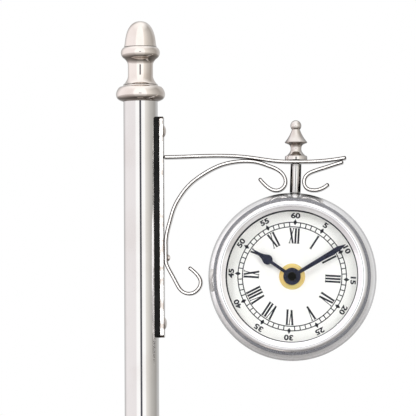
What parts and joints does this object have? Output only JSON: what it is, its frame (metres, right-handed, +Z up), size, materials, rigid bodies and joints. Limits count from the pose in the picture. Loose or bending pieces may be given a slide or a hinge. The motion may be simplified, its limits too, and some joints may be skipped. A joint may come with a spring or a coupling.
{
  "type": "lamp post clock",
  "caption": "Table clock shaped like a street lamp post, with a round battery clock hung from a scrolled bracket.",
  "frame": {"origin": "on the post's axis, at the underside of the felt pad", "axes": "+Z up the post, +X along the arm, -Y out of the dial"},
  "size_m": [0.2165, 0.152, 0.48],
  "materials": {
    "nickel": "polished nickel plate",
    "zinc_steel": "zinc plated",
    "ballast_iron": "as cast, painted dark",
    "yellow_brass": "turned brass",
    "coil_copper": "enamelled copper wire",
    "battery_can": "plain wrapped cell",
    "clear_glass": "clear flat glass",
    "dial_white": "matt white print ground",
    "hand_black": "blue-black gloss",
    "cap_grey": "dark grey satin",
    "felt": "dark green felt",
    "black_rubber": "smooth black rubber",
    "grey_seal": "grey seal",
    "ring_white": "pale grey moulding",
    "gear_plastic": "natural moulded plastic",
    "movement_plastic": "black moulded plastic",
    "board_green": "circuit board"
  },
  "bodies": {
    "stand": {"base_foot": "nickel", "base_pad": "felt", "ballast_disc": "ballast_iron", "tie_rod": "zinc_steel", "tie_rod_washer": "zinc_steel", "tie_rod_nut": "zinc_steel", "base_collar": "nickel", "post_tube": "nickel", "post_cap": "nickel", "finial_neck": "nickel", "finial_knob": "nickel", "bracket_pad": "black_rubber", "bracket_plate": "nickel", "bracket_screws": "nickel", "bracket_arm": "nickel", "bracket_brace": "nickel", "tip_scroll": "nickel", "brace_rivet": "nickel", "top_finial": "nickel", "stem_tube": "nickel", "stem_rod": "zinc_steel", "stem_washer": "zinc_steel", "stem_nut": "zinc_steel", "case_body": "nickel", "case_back": "nickel", "case_back_screws": "zinc_steel", "bezel": "nickel", "glass": "clear_glass", "glass_gasket": "grey_seal", "spacer_ring": "ring_white", "dial": "dial_white", "rubber_washer": "black_rubber", "brass_washer": "yellow_brass", "brass_nut": "yellow_brass", "hand_bushing": "yellow_brass", "movement_front_shell": "movement_plastic", "movement_rear_shell": "movement_plastic", "movement_mid_plate": "gear_plastic", "battery_contacts": "zinc_steel", "drive_coil": "coil_copper", "stator": "zinc_steel", "circuit_board": "board_green"},
    "minute_work": {"minute_hand": "hand_black", "hand_cap": "cap_grey", "minute_arbor": "gear_plastic"},
    "hour_work": {"hour_hand": "hand_black", "hour_wheel": "gear_plastic"},
    "minute_gear": {"minute_wheel": "gear_plastic"},
    "setting_knob": {"set_knob": "movement_plastic"},
    "cell": {"battery": "battery_can"}
  },
  "joints": [
    {"name": "minute_spin", "type": "hinge", "parent": "stand", "child": "minute_work", "pos_m": [0.09026, 0, 0.32605], "axis": [0, 1, 0], "continuous": true},
    {"name": "hour_spin", "type": "hinge", "parent": "stand", "child": "hour_work", "pos_m": [0.09026, 0, 0.32605], "axis": [0, 1, 0], "continuous": true},
    {"name": "minute_wheel_spin", "type": "hinge", "parent": "stand", "child": "minute_gear", "pos_m": [0.09737, 0, 0.33157], "axis": [0, 1, 0], "continuous": true},
    {"name": "set_knob_spin", "type": "hinge", "parent": "stand", "child": "setting_knob", "pos_m": [0.10449, 0, 0.33708], "axis": [0, 1, 0], "continuous": true},
    {"name": "battery_slide", "type": "slide", "parent": "stand", "child": "cell", "axis": [0, 1, 0], "range_m": [0, 0.03]}
  ],
  "couplings": [
    {"joint": "hour_spin", "follows": "minute_spin", "ratio": 0.083333},
    {"joint": "minute_wheel_spin", "follows": "minute_spin", "ratio": -0.33333},
    {"joint": "set_knob_spin", "follows": "minute_spin", "ratio": 1}
  ]
}
